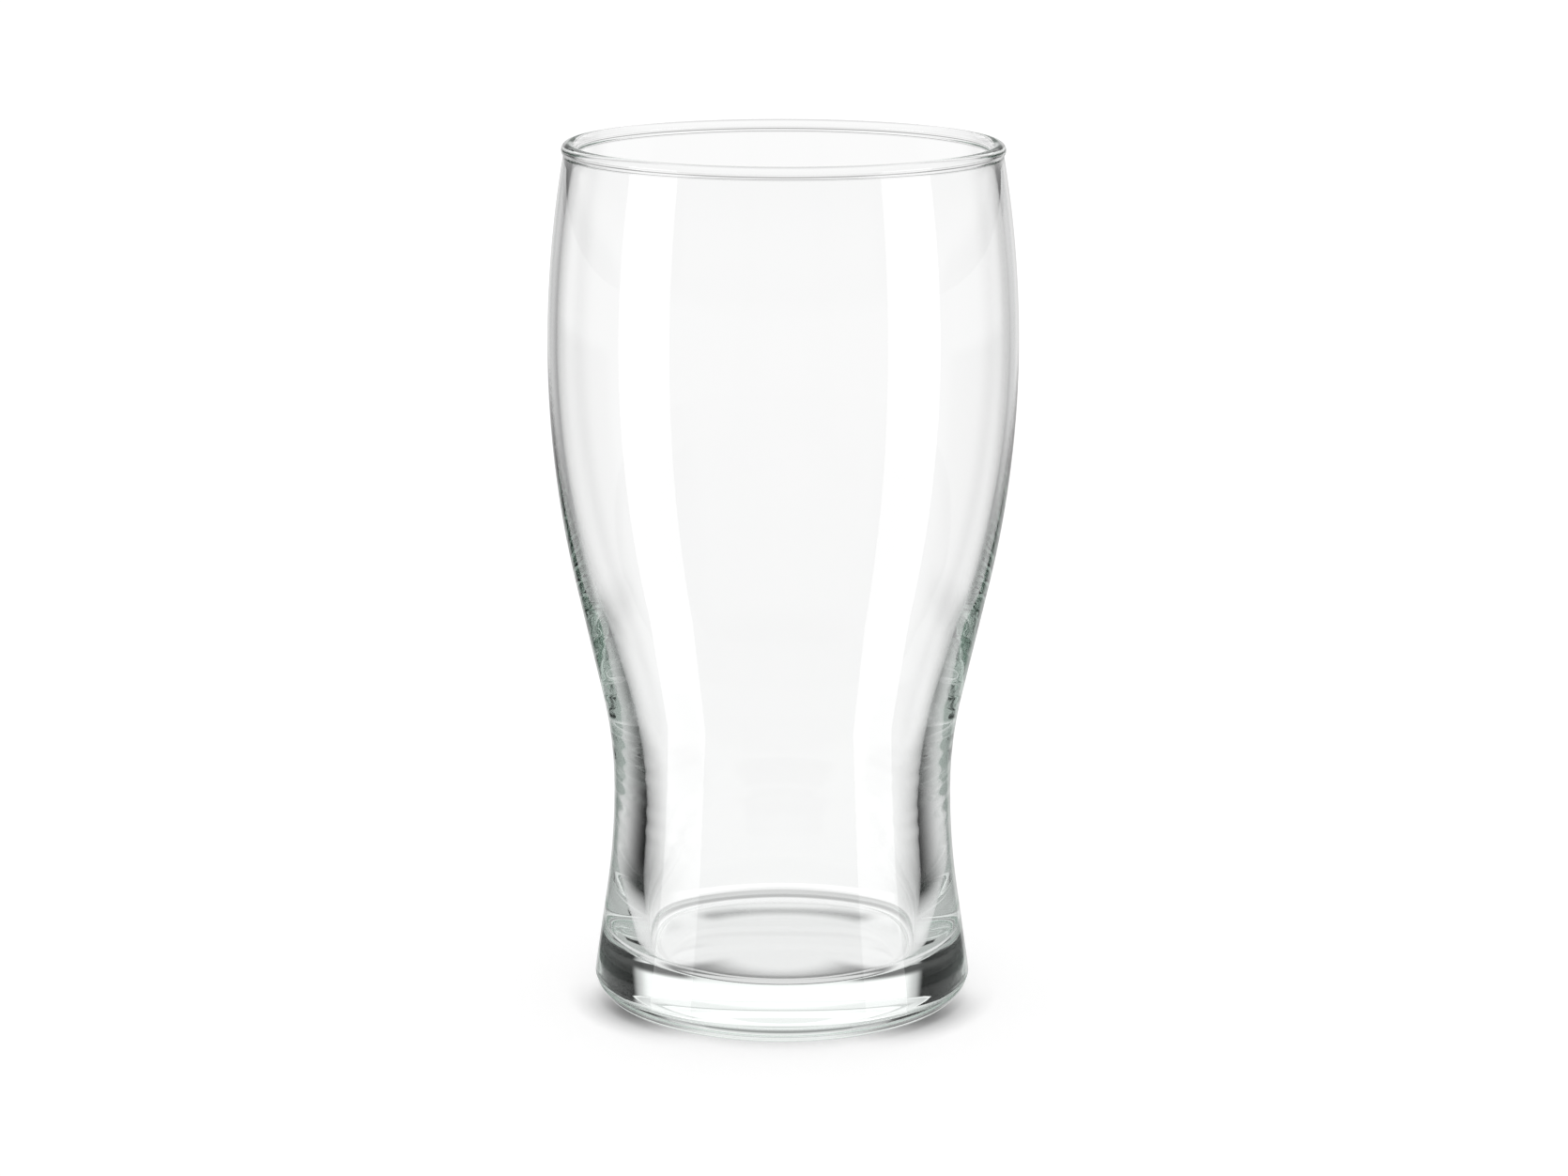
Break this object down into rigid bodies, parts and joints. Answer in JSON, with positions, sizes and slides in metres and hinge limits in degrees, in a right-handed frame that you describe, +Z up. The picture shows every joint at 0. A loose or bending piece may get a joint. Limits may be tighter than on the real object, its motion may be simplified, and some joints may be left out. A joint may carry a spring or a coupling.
{
  "type": "tulip beer glass",
  "caption": "Clear one-piece tulip beer glass: thin bulging bowl with a fire-polished rim bead, thick-walled waist and flared heavy foot.",
  "frame": {"origin": "on the table plane, at the centre of the bearing ring under the base", "axes": "+Z up along the axis of the glass, from the base to the rim; X and Y are alike"},
  "size_m": [0.0806, 0.0806, 0.15],
  "materials": {
    "clear_glass": "clear fire-polished soda-lime glass with a faint green tint where it is thick"
  },
  "bodies": {
    "root": {"tulip_glass": "clear_glass"}
  },
  "joints": []
}
